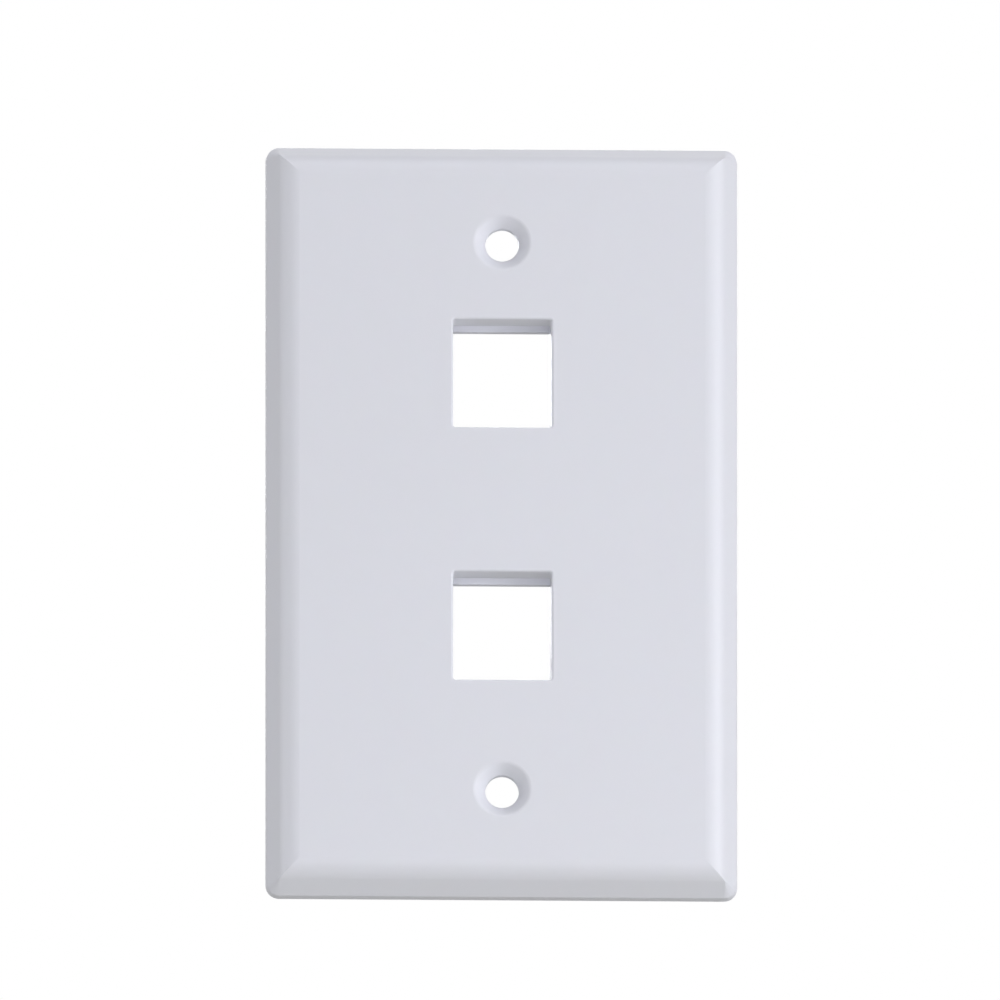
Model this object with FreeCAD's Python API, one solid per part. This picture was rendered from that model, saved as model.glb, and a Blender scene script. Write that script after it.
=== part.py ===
"""Two-port keystone faceplate for a single-gang wall box.

The plate is one injection moulding, so the whole model is one solid in one node: a thin
crowned shell, two countersunk screw holes, and behind each opening the collar whose catch
bars hold a keystone jack.

Units are millimetres. X runs across the plate and Z is up. The wall plane is y = 0: the
rear rim lies on it, the face looks along -Y into the room, and the collars reach along +Y
into the wall box. The origin is on the wall plane, midway between the screw holes.
"""

import FreeCAD, Part
import math
import os
from FreeCAD import Vector

# --- Plate shell -------------------------------------------------------------------------
plate_width = 69.85            # X, the standard 2 3/4 in
plate_height = 114.30          # Z, the standard 4 1/2 in
plate_depth = 6.30             # wall plane to front face
corner_radius = 2.0            # outline corners, seen from the front
rim_height = 1.5               # upright edge that meets the wall
rim_draft = 5.0                # degrees that the upright edge leans in
rim_round = 0.5                # between the upright edge and the bevel
bevel_width = 4.9              # outline to flat face, seen from the front
crown_radius = 3.5             # round that joins the bevel to the flat face
face_wall = 2.5                # thickness behind the face and the bevel
side_wall = 2.4                # width of the rim where it meets the wall
inner_corner_radius = 0.8      # corners of the hollow at the wall plane

# --- Screw holes -------------------------------------------------------------------------
screw_spacing = 83.34          # the standard 3 9/32 in, centre to centre
screw_hole_diameter = 5.0
countersink_diameter = 8.2     # where the cone would meet the face, before rounding
countersink_angle = 82.0       # degrees, the full angle of the screw head's cone
countersink_round = 0.6        # radius between the cone and the face
screw_land = 1.2               # straight hole behind the cone
boss_diameter = 10.6           # ring around each hole on the back
boss_wall = 1.5
boss_setback = 0.6             # the ring stops short of the wall, so that the rim seats first

# --- Keystone ports ----------------------------------------------------------------------
port_count = 2
port_pitch = 38.5              # centre to centre
port_rise = 2.5                # middle of the group of ports above the middle of the plate
port_width = 14.6              # X, at the front face
port_height = 16.5             # Z
port_side_draft = 0.4          # degrees that each side wall closes in towards the back
port_corner_radius = 0.4       # corners of the opening, seen from the front
port_mouth_radius = 0.35       # round on the front edge of the opening
lip_depth = 4.4                # front face to the shoulder that stops the jack
catch_front = 8.3              # front face to the near side of the catch bars
collar_depth = 9.9             # front face to the back of the collar
collar_side_wall = 1.8
collar_draft = 0.8             # degrees that the outside of the collar leans in
catch_bar_height = 3.8         # Z, each bar from its tip to the outside of the collar
latch_relief = 2.0             # the lower bar's tip below the opening, for the sprung latch
latch_land = 0.4               # flat on the lower bar's tip, ahead of its lead-in ramp
fixed_catch_chamfer = 0.4      # rear edge of the upper bar, where the fixed lug goes in
collar_edge_radius = 0.8       # upright outside edges of the collar

# --- Ribs on the back --------------------------------------------------------------------
rib_thickness = 1.2            # at the root
rib_tip_thickness = 0.9
rib_height = 2.2               # behind the wall of the face

# Room that a cutting tool runs past the material it cuts.
overcut = 1.0

half_width = plate_width / 2
half_height = plate_height / 2
screw_centres = (-screw_spacing / 2, screw_spacing / 2)
port_centres = [port_rise + (i - (port_count - 1) / 2) * port_pitch for i in range(port_count)]
countersink_depth = (
    (countersink_diameter - screw_hole_diameter) / 2 / math.tan(math.radians(countersink_angle / 2)))


def depth_to_y(depth):
    """Y of a point that lies this far behind the front face."""
    return depth - plate_depth


def tangent_bevel(width, rise, radius):
    """Foot-to-crown bevel that is tangent to a round of this radius.

    The bevel starts at (0, 0). The round's centre is at (width, rise - radius), so it is
    level where it reaches (width, rise). Returns the bevel's slope and its length.
    """
    distance = math.hypot(width, rise - radius)
    slope = math.atan2(rise - radius, width) + math.asin(radius / distance)
    length = math.sqrt(distance ** 2 - radius ** 2)
    return slope, length


class EdgeProfile:
    """Section across the plate's edge: upright rim, straight bevel, round, flat face.

    w is the distance in from the outline and h is the height off the wall plane. The rim
    runs from (0, foot) to (lean, rim_top), and rim_round eases its corner with the bevel.
    """

    def __init__(self, foot, rim_top, lean, width, top, crown, rim_round=0.0):
        self.foot = foot
        self.rim_top = rim_top
        self.lean = lean
        self.width = width
        self.top = top
        self.crown = crown
        self.rim_round = rim_round
        self.slope, length = tangent_bevel(width - lean, top - rim_top, crown)
        self.crown_w = lean + length * math.cos(self.slope)

    def crown_point(self, w):
        """Point of the crowning round at w."""
        across = self.width - w
        return (w, self.top - self.crown + math.sqrt(self.crown ** 2 - across ** 2))

    def point(self, w):
        """Point of the bevel or of the crowning round at w."""
        if w < self.crown_w:
            return (w, self.rim_top + (w - self.lean) * math.tan(self.slope))
        return self.crown_point(w)

    def eased_corner(self):
        """Start, middle and end of the round between the rim and the bevel."""
        rim_angle = math.atan2(self.rim_top - self.foot, self.lean)
        half_turn = (rim_angle - self.slope) / 2
        tangent = self.rim_round * math.tan(half_turn)
        rise = self.rim_round * (1 / math.cos(half_turn) - 1)
        inward = (rim_angle + self.slope) / 2 - math.pi / 2
        corner = (self.lean, self.rim_top)
        return (
            stepped(corner, rim_angle, -tangent),
            stepped(corner, inward, rise),
            stepped(corner, self.slope, tangent),
        )

    def edges(self, place, end_w):
        """Edges from the foot of the rim up to w = end_w. place turns (w, h) into a Vector."""
        start, middle, end = self.eased_corner()
        bevel_end = self.point(min(end_w, self.crown_w))
        made = [line(place(0, self.foot), place(*start)), line(place(*end), place(*bevel_end))]
        if self.rim_round:
            made.append(arc(place(*start), place(*middle), place(*end)))
        if end_w > self.crown_w:
            halfway = self.crown_point((self.crown_w + end_w) / 2)
            made.append(arc(place(*bevel_end), place(*halfway), place(*self.crown_point(end_w))))
        return made


def stepped(point, angle, distance):
    """Point this far from another, in the direction of the angle."""
    return (point[0] + distance * math.cos(angle), point[1] + distance * math.sin(angle))


def line(start, end):
    return Part.LineSegment(start, end).toShape()


def arc(start, middle, end):
    return Part.Arc(start, middle, end).toShape()


def face_within(edges):
    """Flat face inside a closed loop of edges, in any order."""
    return Part.Face(Part.Wire(Part.__sortEdges__(edges)))


def crowned_bar(profile, half_span, half_length, along):
    """The edge profile on both sides of a bar that runs its whole length along X or Z."""
    across = Vector(1, 0, 0) if along.z else Vector(0, 0, 1)

    def side(sign):
        return lambda w, h: across * (sign * (half_span - w)) + Vector(0, -h, 0) - along * half_length

    loop = [line(side(-1)(0, profile.foot), side(1)(0, profile.foot))]
    loop.append(line(side(-1)(profile.width, profile.top), side(1)(profile.width, profile.top)))
    for sign in (-1, 1):
        loop += profile.edges(side(sign), profile.width)
    return face_within(loop).extrude(along * (2 * half_length))


def corner_cone(profile, radius, centre_x, centre_z, start_angle):
    """Quarter turn of the edge profile about an outline corner's own centre."""
    turn_axis = Vector(0, -1, 0)

    def place(w, h):
        return Vector(radius - w, -h, 0)

    tip = place(*profile.point(radius))
    foot = place(radius, profile.foot)
    loop = profile.edges(place, radius) + [line(tip, foot), line(foot, place(0, profile.foot))]
    quarter = face_within(loop).revolve(Vector(0, 0, 0), turn_axis, 90)
    quarter.rotate(Vector(0, 0, 0), turn_axis, start_angle)
    quarter.translate(Vector(centre_x, 0, centre_z))
    return quarter


def crowned_block(profile, half_x, half_z, radius):
    """Block with the edge profile all round: mitred bevels, coned where the outline rounds."""
    block = crowned_bar(profile, half_x, half_z, Vector(0, 0, 1))
    block = block.common(crowned_bar(profile, half_z, half_x, Vector(1, 0, 0)))
    tall = profile.top - profile.foot + 2 * overcut
    cells = []
    cones = []
    for sign_x, sign_z, start_angle in ((1, 1, 0), (-1, 1, 90), (-1, -1, 180), (1, -1, 270)):
        centre_x = sign_x * (half_x - radius)
        centre_z = sign_z * (half_z - radius)
        cell = Part.makeBox(radius + overcut, tall, radius + overcut)
        cell.translate(Vector(
            min(centre_x, centre_x + sign_x * (radius + overcut)),
            -profile.top - overcut,
            min(centre_z, centre_z + sign_z * (radius + overcut)),
        ))
        cells.append(cell)
        cones.append(corner_cone(profile, radius, centre_x, centre_z, start_angle))
    return block.cut(cells).fuse(cones).removeSplitter()


def outer_profile():
    lean = rim_height * math.tan(math.radians(rim_draft))
    return EdgeProfile(0, rim_height, lean, bevel_width, plate_depth, crown_radius, rim_round)


def hollow_profile(outside):
    """Edge profile of the hollow, parallel to the outside bevel at the face's thickness."""
    bevel_in = outside.lean + face_wall * math.sin(outside.slope)
    bevel_up = outside.rim_top - face_wall * math.cos(outside.slope)
    rim_top = bevel_up + (side_wall - bevel_in) * math.tan(outside.slope)
    foot = min(0, rim_top) - overcut
    width = bevel_width - side_wall
    return EdgeProfile(foot, rim_top, 0, width, plate_depth - face_wall, crown_radius - face_wall)


def tapered_box(near_y, near_x, near_z, far_y, far_x, far_z):
    """Box along Y whose ends differ. near_x and the like are (low, high) pairs."""
    return Part.makeWedge(
        near_x[0], near_y, near_z[0], far_z[0], far_x[0],
        near_x[1], far_y, near_z[1], far_z[1], far_x[1],
    )


def edges_along_y(shape):
    """The edges that run mainly front to back."""
    found = []
    for edge in shape.Edges:
        run = edge.Vertexes[-1].Point - edge.Vertexes[0].Point
        if abs(run.y) > 0.9 * edge.Length:
            found.append(edge)
    return found


def collar(centre_z):
    """Outside of one port's collar, rooted in the wall of the face."""
    root = face_wall / 2
    half_x = port_width / 2 + collar_side_wall
    top = centre_z + port_height / 2 + catch_bar_height
    bottom = centre_z - port_height / 2 - latch_relief - catch_bar_height
    lean = (collar_depth - root) * math.tan(math.radians(collar_draft))
    block = tapered_box(
        depth_to_y(root), (-half_x, half_x), (bottom, top),
        depth_to_y(collar_depth), (lean - half_x, half_x - lean), (bottom + lean, top - lean),
    )
    return block.makeFillet(collar_edge_radius, edges_along_y(block))


def port_passage(centre_z):
    """Straight way through the lip, with its rounded corners and drafted sides."""
    front = -overcut
    narrowing = math.tan(math.radians(port_side_draft))
    near_x = port_width / 2 - front * narrowing
    far_x = port_width / 2 - lip_depth * narrowing
    span_z = (centre_z - port_height / 2, centre_z + port_height / 2)
    passage = tapered_box(
        depth_to_y(front), (-near_x, near_x), span_z,
        depth_to_y(lip_depth), (-far_x, far_x), span_z,
    )
    return passage.makeFillet(port_corner_radius, edges_along_y(passage))


def catch_cavity(centre_z):
    """Space behind the lip: the two latch windows and the way past the catch bars."""
    top = port_height / 2
    latch_tip = -port_height / 2 - latch_relief
    window_top = top + catch_bar_height + overcut
    window_bottom = latch_tip - catch_bar_height - overcut
    ramp = collar_depth - catch_front - latch_land
    past = collar_depth + overcut
    section = [
        (lip_depth, window_top),
        (catch_front, window_top),
        (catch_front, top),
        (collar_depth - fixed_catch_chamfer, top),
        (past, top + fixed_catch_chamfer + overcut),
        (past, latch_tip - ramp - overcut),
        (catch_front + latch_land, latch_tip),
        (catch_front, latch_tip),
        (catch_front, window_bottom),
        (lip_depth, window_bottom),
    ]
    narrowing = math.tan(math.radians(port_side_draft))
    half_x = port_width / 2
    points = [Vector(-half_x, depth_to_y(d), centre_z + z) for d, z in section]
    space = Part.Face(Part.makePolygon(points + points[:1])).extrude(Vector(2 * half_x, 0, 0))
    near_x = half_x - lip_depth * narrowing
    far_x = half_x - past * narrowing
    tall = (centre_z + window_bottom, centre_z + window_top)
    between_sides = tapered_box(
        depth_to_y(lip_depth), (-near_x, near_x), tall,
        depth_to_y(past), (-far_x, far_x), tall,
    )
    return space.common(between_sides)


def screw_cutter(centre_z):
    """Clearance hole with its countersink, which is rounded over into the face."""
    hole = screw_hole_diameter / 2
    mouth = countersink_diameter / 2
    lean = math.radians(countersink_angle / 2)
    half_turn = (math.pi / 2 - lean) / 2
    tangent = countersink_round * math.tan(half_turn)
    end = countersink_depth + screw_land + overcut

    def at(radius, depth):
        return Vector(radius, depth_to_y(depth), 0)

    lip_start = at(mouth + tangent, 0)
    lip_middle = at(
        mouth + tangent - countersink_round * math.sin(half_turn),
        countersink_round * (1 - math.cos(half_turn)),
    )
    lip_end = at(mouth - tangent * math.sin(lean), tangent * math.cos(lean))
    bottom = at(hole, countersink_depth)
    loop = [
        line(at(0, -overcut), at(mouth + tangent, -overcut)),
        line(at(mouth + tangent, -overcut), lip_start),
        arc(lip_start, lip_middle, lip_end),
        line(lip_end, bottom),
        line(bottom, at(hole, end)),
        line(at(hole, end), at(0, end)),
        line(at(0, end), at(0, -overcut)),
    ]
    cutter = face_within(loop).revolve(Vector(0, 0, 0), Vector(0, 1, 0), 360)
    cutter.translate(Vector(0, 0, centre_z))
    return cutter


def screw_boss(centre_z):
    """Ring that stiffens the wall of the face around a screw hole."""
    root = depth_to_y(face_wall / 2)
    height = -boss_setback - root
    axis = Vector(0, 1, 0)
    return Part.makeCylinder(boss_diameter / 2, height, Vector(0, root, centre_z), axis)


def boss_bore(centre_z):
    """Wider way through the ring, behind the land of the screw hole."""
    floor = depth_to_y(countersink_depth + screw_land)
    radius = boss_diameter / 2 - boss_wall
    axis = Vector(0, 1, 0)
    return Part.makeCylinder(radius, -floor + overcut, Vector(0, floor, centre_z), axis)


def rib(start, end):
    """Drafted rib on the back of the face, between two (x, z) points on one line."""
    root = depth_to_y(face_wall / 2)
    tip = depth_to_y(face_wall + rib_height)
    begin = Vector(start[0], 0, start[1])
    run = Vector(end[0], 0, end[1]) - begin
    side = Vector(0, 1, 0).cross(run).normalize()
    corners = [
        begin - side * (rib_thickness / 2) + Vector(0, root, 0),
        begin + side * (rib_thickness / 2) + Vector(0, root, 0),
        begin + side * (rib_tip_thickness / 2) + Vector(0, tip, 0),
        begin - side * (rib_tip_thickness / 2) + Vector(0, tip, 0),
    ]
    return Part.Face(Part.makePolygon(corners + corners[:1])).extrude(run)


def ribs():
    """Two long ribs in line with the collars' sides, and cross ribs to the rim."""
    long_x = port_width / 2 + collar_side_wall / 2
    made = [rib((x, -half_height), (x, half_height)) for x in (-long_x, long_x)]
    for z in port_centres + list(screw_centres):
        made.append(rib((-half_width, z), (half_width, z)))
    for z in screw_centres:
        toward_end = math.copysign(half_height, z)
        made.append(rib((0, z), (0, toward_end)))
    return made


def round_port_mouths(plate):
    """Round the front edge of every opening."""
    mouth_edges = []
    for edge in plate.Edges:
        box = edge.BoundBox
        on_face = abs(box.YMin + plate_depth) < 1e-4 and abs(box.YMax + plate_depth) < 1e-4
        in_width = max(abs(box.XMin), abs(box.XMax)) < port_width / 2 + 1e-3
        for centre_z in port_centres:
            reach = max(abs(box.ZMin - centre_z), abs(box.ZMax - centre_z))
            if on_face and in_width and reach < port_height / 2 + 1e-3:
                mouth_edges.append(edge)
    return plate.makeFillet(port_mouth_radius, mouth_edges)


def faceplate():
    outside = outer_profile()
    body = crowned_block(outside, half_width, half_height, corner_radius)
    hollow = crowned_block(
        hollow_profile(outside), half_width - side_wall, half_height - side_wall, inner_corner_radius)
    backing = [r.common(body) for r in ribs()] + [screw_boss(z) for z in screw_centres]
    plate = body.cut(hollow).fuse(backing + [collar(z) for z in port_centres])
    cutters = [port_passage(z) for z in port_centres] + [catch_cavity(z) for z in port_centres]
    cutters += [screw_cutter(z) for z in screw_centres] + [boss_bore(z) for z in screw_centres]
    plate = plate.cut(cutters).removeSplitter()
    return round_port_mouths(plate)


def save(shape, node):
    """Write one sub-part, and say what it measures."""
    os.makedirs("parts", exist_ok=True)
    solid = shape.Solids[0] if len(shape.Solids) == 1 else shape
    solid.exportStep(f"parts/{node}.step")
    box = solid.optimalBoundingBox()
    print(f"{node}: {len(shape.Solids)} solid, valid {shape.isValid()}, {len(shape.Faces)} faces, "
          f"{box.XLength:.2f} x {box.YLength:.2f} x {box.ZLength:.2f} mm, "
          f"{shape.Volume / 1000:.2f} cm3")


save(faceplate(), "faceplate")
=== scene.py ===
# %% [markdown]
# # A keystone faceplate in satin white plastic
#
# This lesson dresses one finished part: the plate that closes a single wall box and holds
# two snap-in jacks. The solid itself came from CAD, so its shape and its size are settled.
# What is left to do here is what a studio and a finisher would do: give the plastic its
# colour and its skin, hang soft light around it, and stand the camera slightly below it,
# looking up.

# %% Load the frame
import math

import bpy
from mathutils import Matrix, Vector


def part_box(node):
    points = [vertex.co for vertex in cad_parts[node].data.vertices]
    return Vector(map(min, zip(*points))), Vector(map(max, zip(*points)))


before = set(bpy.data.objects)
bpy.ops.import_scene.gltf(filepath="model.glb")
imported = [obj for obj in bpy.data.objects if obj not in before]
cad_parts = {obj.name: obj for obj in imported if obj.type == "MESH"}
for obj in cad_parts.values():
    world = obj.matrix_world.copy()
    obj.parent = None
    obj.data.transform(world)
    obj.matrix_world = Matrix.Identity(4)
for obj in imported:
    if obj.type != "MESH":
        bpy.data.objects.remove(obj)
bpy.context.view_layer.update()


# %% [markdown]
# ## Finding the plate
#
# The CAD model is one moulding, so there is one node. Its box gives the plate's height,
# its width and the place of its middle, and every later step works from these.

# %% Measure the plate
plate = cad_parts["faceplate"]
plate_low, plate_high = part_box("faceplate")
plate_middle = (plate_low + plate_high) / 2
plate_height = plate_high.z - plate_low.z
plate_width = plate_high.x - plate_low.x

print("plate is", round(plate_width * 1000, 2), "mm wide and",
      round(plate_height * 1000, 2), "mm high")

# %% [markdown]
# ## The plastic's colour
#
# Wall plates are moulded in a white that is a little cool and a little grey. A single flat
# colour would look like paint on a screen, because real resin carries pigment that is not
# quite even. A material could take that from a painted picture, but a pattern that is
# worked out from the plate's own coordinates never shows a seam and needs no unwrapping.
# The first thing to make is therefore a helper that hands out such patterns.

# %% Start the material
plastic = bpy.data.materials.new("satin_white_plastic")
plastic.use_nodes = True
nodes = plastic.node_tree.nodes
links = plastic.node_tree.links
shader = nodes["Principled BSDF"]
place = nodes.new("ShaderNodeTexCoord")


def grain(label, per_metre, detail, roughness=0.5):
    """Noise in the plate's own coordinates, with so many grains to the metre."""
    texture = nodes.new("ShaderNodeTexNoise")
    texture.label = label
    texture.inputs["Scale"].default_value = per_metre
    texture.inputs["Detail"].default_value = detail
    texture.inputs["Roughness"].default_value = roughness
    links.new(place.outputs["Object"], texture.inputs["Vector"])
    print(label, "has grains of about", round(1000 / per_metre, 2), "mm")
    return texture


# %% [markdown]
# Two patterns vary the white by about one part in a hundred. The first is half as broad as
# the plate is high and follows the melt as it flowed through the mould: it slides between a
# warmer and a cooler white. The second has grains of a few millimetres, like pigment that
# was not stirred in to the last crumb. It is multiplied in, so it can only darken.

# %% Mix the whites
warm_white = (0.731, 0.733, 0.773, 1)
cool_white = (0.738, 0.745, 0.792, 1)
pigment_share = 0.02


def colour_mix(tree_nodes, blend="MIX"):
    """A node that mixes colour A with colour B."""
    mix = tree_nodes.new("ShaderNodeMix")
    mix.data_type = "RGBA"
    mix.blend_type = blend
    return mix


flow_white = colour_mix(nodes)
flow_white.inputs["A"].default_value = warm_white
flow_white.inputs["B"].default_value = cool_white
melt_flow = grain("melt flow", per_metre=18, detail=2)
links.new(melt_flow.outputs["Fac"], flow_white.inputs["Factor"])

speckled_white = colour_mix(nodes, "MULTIPLY")
speckled_white.inputs["Factor"].default_value = pigment_share
links.new(flow_white.outputs["Result"], speckled_white.inputs["A"])
pigment = grain("pigment", per_metre=320, detail=3)
links.new(pigment.outputs["Color"], speckled_white.inputs["B"])
links.new(speckled_white.outputs["Result"], shader.inputs["Base Color"])

print("whites from", warm_white[:3], "to", cool_white[:3])

# %% [markdown]
# ## The plastic's skin
#
# The steel of the mould is blasted with fine beads, and the plastic copies it, so the
# surface is satin: it shows soft, wide highlights and no mirror image. Two things make
# this in a shader. Roughness spreads the highlight, and a very low bump breaks it up into
# a grain that only a close look can see. The grain is about a fifth of a millimetre
# across, and the bump stands a few thousandths of a millimetre high. The roughness itself
# drifts a little over the plate, as the blasting of a mould often does.

# %% Give it the satin skin
smoothest, roughest = 0.42, 0.50
bump_height = 0.00002
bump_strength = 0.25
plastic_ior = 1.49
shine_level = 0.4

skin = nodes.new("ShaderNodeBump")
skin.inputs["Strength"].default_value = bump_strength
skin.inputs["Distance"].default_value = bump_height
blasting = grain("bead blasting", per_metre=5200, detail=2, roughness=0.6)
links.new(blasting.outputs["Fac"], skin.inputs["Height"])
links.new(skin.outputs["Normal"], shader.inputs["Normal"])

satin = nodes.new("ShaderNodeMapRange")
satin.inputs["To Min"].default_value = smoothest
satin.inputs["To Max"].default_value = roughest
polish = grain("drift of the polish", per_metre=60, detail=2)
links.new(polish.outputs["Fac"], satin.inputs["Value"])
links.new(satin.outputs["Result"], shader.inputs["Roughness"])

shader.inputs["IOR"].default_value = plastic_ior
shader.inputs["Specular IOR Level"].default_value = shine_level

print("bump stands about", round(bump_height * bump_strength * 1000, 4), "mm high")

# %% [markdown]
# ## Dressing the plate
#
# One moulding is one plastic, front and back, so each slot of the CAD mesh takes the same
# material. The mesh itself stays as it came.

# %% Dress the plate
for slot in plate.material_slots:
    slot.material = plastic

print("slots dressed:", len(plate.material_slots))

# %% [markdown]
# ## The studio
#
# The plate hangs in the air, as it would on its wall, over a plain pale floor. The floor
# lies well below it, so that a camera can also look up from underneath. Around them is a
# white surround, which can't simply be a bright world: so much light would burn out the
# pale plastic and wipe away its shading. The Light Path node splits the two jobs, because
# it knows why a ray was sent. Rays that show what lies around are to find white: those
# from the camera, those through something clear, and mirrored ones. All the others only
# carry light, and are to find something dimmer.

# %% Tell seen rays from lighting rays
def seen_ray(tree_nodes, tree_links, mirrored):
    """1 for rays from the camera or through something clear, a share for mirrored rays."""
    light_path = tree_nodes.new("ShaderNodeLightPath")

    def combined(operation, first, second):
        step = tree_nodes.new("ShaderNodeMath")
        step.operation = operation
        tree_links.new(first, step.inputs[0])
        if isinstance(second, float):
            step.inputs[1].default_value = second
        else:
            tree_links.new(second, step.inputs[1])
        return step.outputs["Value"]

    mirrored_share = combined("MULTIPLY", light_path.outputs["Is Glossy Ray"], mirrored)
    clear = light_path.outputs["Is Transmission Ray"]
    seen = combined("MAXIMUM", light_path.outputs["Is Camera Ray"], clear)
    print("mirrored rays count for", mirrored)
    return combined("MAXIMUM", seen, mirrored_share)


# %% [markdown]
# The surround is the world. Where a ray is seen it is a card of pure white, and for all
# other rays it is a dim fill, slightly warm, that only lifts the shadows.

# %% Surround it with white
fill_colour = (1.0, 0.99, 0.96, 1)
fill_strength = 0.15
card_colour = (1, 1, 1, 1)
card_strength = 1.0

surround = bpy.data.worlds.new("white_surround")
surround.use_nodes = True
bpy.context.scene.world = surround
air = surround.node_tree.nodes
wires = surround.node_tree.links

fill_light = air["Background"]
fill_light.inputs["Color"].default_value = fill_colour
fill_light.inputs["Strength"].default_value = fill_strength

white_card = air.new("ShaderNodeBackground")
white_card.inputs["Color"].default_value = card_colour
white_card.inputs["Strength"].default_value = card_strength

choose = air.new("ShaderNodeMixShader")
wires.new(seen_ray(air, wires, mirrored=1.0), choose.inputs["Fac"])
wires.new(fill_light.outputs["Background"], choose.inputs[1])
wires.new(white_card.outputs["Background"], choose.inputs[2])
wires.new(choose.outputs["Shader"], air["World Output"].inputs["Surface"])

print("fill light is", fill_strength, "of the white that is seen")

# %% [markdown]
# The floor is one large plane, a few plate heights down. It is scenery and no part of the
# plate.

# %% Lay the floor
floor_drop = 3.5 * plate_height
floor_side = 40 * plate_height

bpy.ops.mesh.primitive_plane_add(size=floor_side,
                                 location=(0, 0, plate_low.z - floor_drop))
floor = bpy.context.object
floor.name = "studio_floor"

print("floor is", round(floor_drop * 1000), "mm below the plate and",
      round(floor_side, 1), "m wide")

# %% [markdown]
# The floor's paint is pale where it is seen, and takes the plate's shadow. For rays that
# only carry light it is darker and a little warm, as if a dark cloth lay there. Without
# that, the floor would throw so much light upward that the lower bevel lost its shade. The
# warmth takes back a little of the blue that builds up inside the openings, where light
# bounces from the cool plastic more than once. Mirrored rays get a fifth of the pale
# floor: the skin is so rough that the whole floor would show in it as one bright haze.

# %% Paint the floor
floor_paint = bpy.data.materials.new("pale_floor")
floor_paint.use_nodes = True
floor_nodes = floor_paint.node_tree.nodes
floor_links = floor_paint.node_tree.links
floor.data.materials.append(floor_paint)

paint_for_light = (0.62, 0.615, 0.57, 1)
paint_when_seen = (0.86, 0.86, 0.86, 1)
paint_roughness = 0.9

paint = floor_nodes["Principled BSDF"]
paint.inputs["Roughness"].default_value = paint_roughness
floor_seen = seen_ray(floor_nodes, floor_links, mirrored=0.2)

floor_colour = colour_mix(floor_nodes)
floor_colour.inputs["A"].default_value = paint_for_light
floor_colour.inputs["B"].default_value = paint_when_seen
floor_links.new(floor_seen, floor_colour.inputs["Factor"])
floor_links.new(floor_colour.outputs["Result"], paint.inputs["Base Color"])

print("floor paint is", paint_when_seen[:3], "where it is seen and",
      paint_for_light[:3], "for light")

# %% [markdown]
# Paint alone would be grey next to a white surround, so a glow lies over it, again only
# for the rays that are seen. The soft boxes light just the middle of the floor. The glow
# makes up for it and grows with the distance from there, so the far edge of the floor
# melts into the surround without a line, as the curved wall of a studio does.

# %% Make the floor glow
fade_start, fade_end = 0.3, 1.6
glow_near, glow_far = 0.62, 1.0

floor_place = floor_nodes.new("ShaderNodeTexCoord")
distance = floor_nodes.new("ShaderNodeVectorMath")
distance.operation = "LENGTH"
floor_links.new(floor_place.outputs["Object"], distance.inputs[0])

fade_to_white = floor_nodes.new("ShaderNodeMapRange")
fade_to_white.inputs["From Min"].default_value = fade_start
fade_to_white.inputs["From Max"].default_value = fade_end
fade_to_white.inputs["To Min"].default_value = glow_near
fade_to_white.inputs["To Max"].default_value = glow_far
floor_links.new(distance.outputs["Value"], fade_to_white.inputs["Value"])

seen_glow = floor_nodes.new("ShaderNodeMath")
seen_glow.operation = "MULTIPLY"
floor_links.new(floor_seen, seen_glow.inputs[0])
floor_links.new(fade_to_white.outputs["Result"], seen_glow.inputs[1])

glow = floor_nodes.new("ShaderNodeEmission")
floor_links.new(seen_glow.outputs["Value"], glow.inputs["Strength"])
lit_and_glowing = floor_nodes.new("ShaderNodeAddShader")
floor_links.new(paint.outputs["BSDF"], lit_and_glowing.inputs[0])
floor_links.new(glow.outputs["Emission"], lit_and_glowing.inputs[1])
floor_links.new(lit_and_glowing.outputs["Shader"],
                floor_nodes["Material Output"].inputs["Surface"])

print("glow grows from", glow_near, "to", glow_far,
      "between", fade_start, "and", fade_end, "m")

# %% [markdown]
# ## Soft light
#
# Seven soft boxes draw the shape, and each has one job. Low in front stand the two that
# light the face and the lower bevel. One stands at each side. The right one has the most
# watts of all: it makes the right bevel the brightest and reaches down into the
# countersinks. The left one is weaker and almost level with the face, so the left bevel
# stays in half tone. One above carries the face up to its top edge, with a smaller one
# behind it for the top bevel. The last stands behind the plate, where it lights the
# catches inside the openings, and the collars and ribs when the plate is turned round.
#
# Each box is a square area lamp: the larger the square, the softer the shadow edge. Their
# watts are balanced one against another, so that each bevel keeps a tone of its own next
# to the face and none burns out. A helper aims each lamp at the middle of the plate, since
# an area lamp shines along its own -Z.

# %% Hang the soft boxes
daylight = (0.99, 1.0, 1.05)


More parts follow.
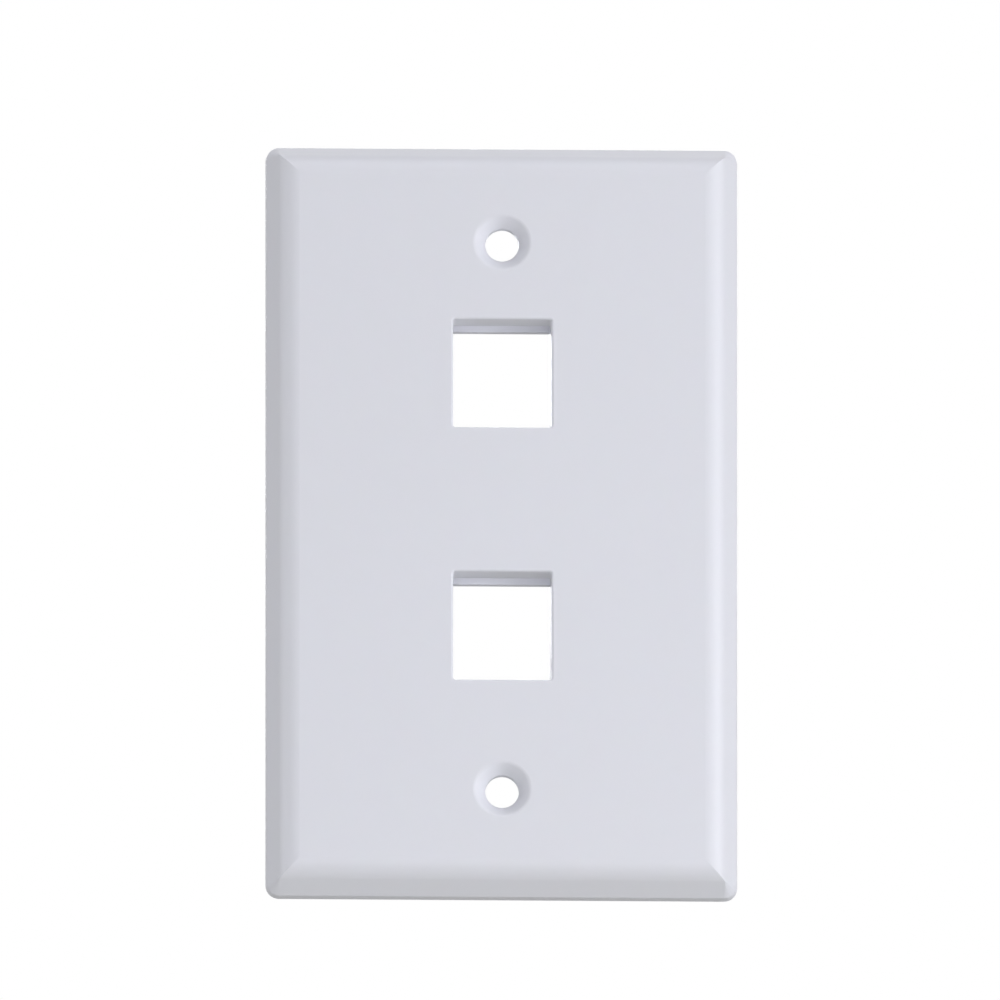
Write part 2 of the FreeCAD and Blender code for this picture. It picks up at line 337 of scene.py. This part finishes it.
def soft_box(name, spot, side, watts):
    """Square lamp, seen by no camera, aimed at the plate's middle."""
    lamp = bpy.data.lights.new(name, "AREA")
    lamp.size = side
    lamp.energy = watts
    lamp.color = daylight
    box = bpy.data.objects.new(name, lamp)
    box.location = spot
    box.rotation_euler = (plate_middle - Vector(spot)).to_track_quat("-Z", "Y").to_euler()
    box.visible_camera = False
    bpy.context.scene.collection.objects.link(box)
    print(name, "stands", round((Vector(spot) - plate_middle).length, 2), "m away")


soft_box("front_low_box", (0.0, -0.75, -0.25), side=0.40, watts=1.82)
soft_box("lower_right_box", (0.45, -0.55, -0.20), side=0.25, watts=1.02)
soft_box("side_right_box", (0.68, -0.26, 0.0), side=0.30, watts=2.18)
soft_box("side_left_box", (-0.75, -0.10, 0.0), side=0.35, watts=1.42)
soft_box("top_box", (0.0, -0.30, 0.70), side=0.45, watts=2.15)
soft_box("top_rear_box", (0.0, 0.40, 0.65), side=0.35, watts=0.46)
soft_box("rear_box", (0.0, 0.36, 0.16), side=0.18, watts=1.0)

# %% [markdown]
# ## The camera
#
# A camera that stands far away, with a long lens, sees the plate's long sides as parallel
# lines. An orthographic camera is the limit of that: it has no vanishing point at all. It
# looks up at the plate from fourteen degrees below, a touch from the left, which shows the
# ceilings of the two openings and the lower bevel. The plate sits a little under the middle
# of the frame, so the aim is a few millimetres above it.

# %% Set the camera
looking_up = math.radians(14)
from_left = math.radians(1.5)
frame_width = 0.148
camera_distance = 0.4
nearest_seen, farthest_seen = 0.01, 20
aim_shift = Vector((-0.00023, 0, 0.00358))
aim = plate_middle + aim_shift

away = Vector((
    -math.sin(from_left) * math.cos(looking_up),
    -math.cos(from_left) * math.cos(looking_up),
    -math.sin(looking_up),
))
lens = bpy.data.cameras.new("studio_camera")
lens.type = "ORTHO"
lens.ortho_scale = frame_width
lens.clip_start = nearest_seen
lens.clip_end = farthest_seen
camera = bpy.data.objects.new("studio_camera", lens)
camera.location = aim + away * camera_distance
camera.rotation_euler = (-away).to_track_quat("-Z", "Y").to_euler()
bpy.context.scene.collection.objects.link(camera)
bpy.context.scene.camera = camera

print("plate fills", round(plate_width / frame_width, 2), "of the frame's width")

# %% [markdown]
# ## Keeping the colours
#
# A filmic view would press the pale tones together and turn white into grey. The Standard
# view shows each colour as the material and the light make it, which a white product on
# white needs.

# %% Keep the colours as they are
view = bpy.context.scene.view_settings
view.view_transform = "Standard"

print("view is", view.view_transform)
